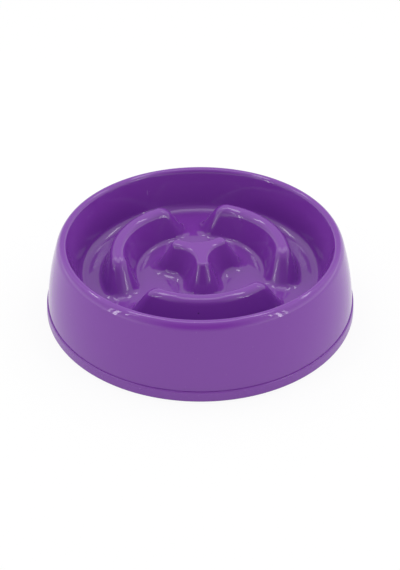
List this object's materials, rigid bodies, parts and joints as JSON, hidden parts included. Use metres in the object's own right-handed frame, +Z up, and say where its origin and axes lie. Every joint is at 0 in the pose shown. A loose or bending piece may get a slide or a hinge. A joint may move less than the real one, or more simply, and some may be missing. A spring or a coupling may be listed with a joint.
{
  "type": "slow feeder bowl",
  "caption": "Round moulded pet bowl with a maze of curved ridges and a centre hump that slows eating, standing on a non-slip foot ring.",
  "frame": {"origin": "centre of the flat underside of the foot ring, on the surface that the bowl stands on", "axes": "+Z up along the bowl's centre line; the front looks along -Y, and +X is to the right seen from the front"},
  "size_m": [0.2396, 0.2396, 0.0598],
  "materials": {
    "shell": "gloss",
    "ring": "satin"
  },
  "bodies": {
    "root": {"bowl_shell": "shell", "non_slip_ring": "ring"}
  },
  "joints": []
}
